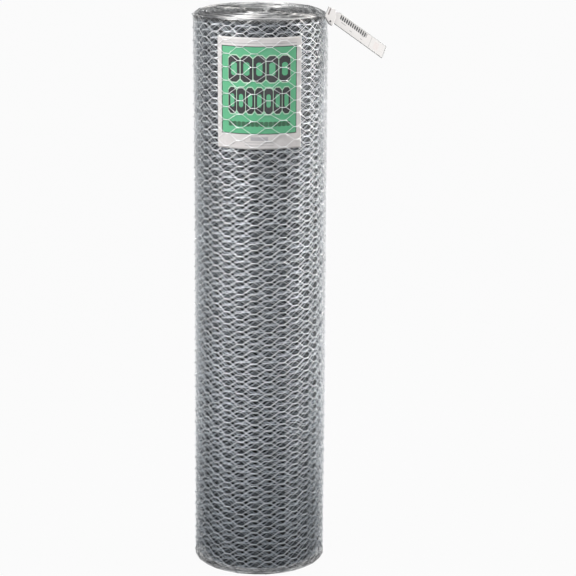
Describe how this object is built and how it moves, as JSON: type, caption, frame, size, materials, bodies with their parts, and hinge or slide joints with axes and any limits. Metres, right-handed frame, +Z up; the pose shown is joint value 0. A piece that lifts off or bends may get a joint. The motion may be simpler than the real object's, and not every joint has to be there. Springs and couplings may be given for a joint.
{
  "type": "roll of chicken wire",
  "caption": "Upright roll of galvanised hexagonal wire netting with an open bore, a paper label under its outer turn and a folded strip tag at its top edge.",
  "frame": {"origin": "on the roll's axis at the floor, where the bore opens on the lower end", "axes": "+Z up along the roll's axis and its bore; the label faces -Y; the strip tag stands out towards +X"},
  "size_m": [0.4107, 0.2902, 1.2273],
  "materials": {
    "galvanised_wire": "dull galvanised zinc",
    "label_paper": "printed paper with a green panel",
    "tag_paper": "coated paper strip",
    "dark_rivet": "satin black"
  },
  "bodies": {
    "root": {"netting_roll": "galvanised_wire", "paper_label": "label_paper", "hang_tag": "tag_paper", "tag_rivet": "dark_rivet"}
  },
  "joints": []
}
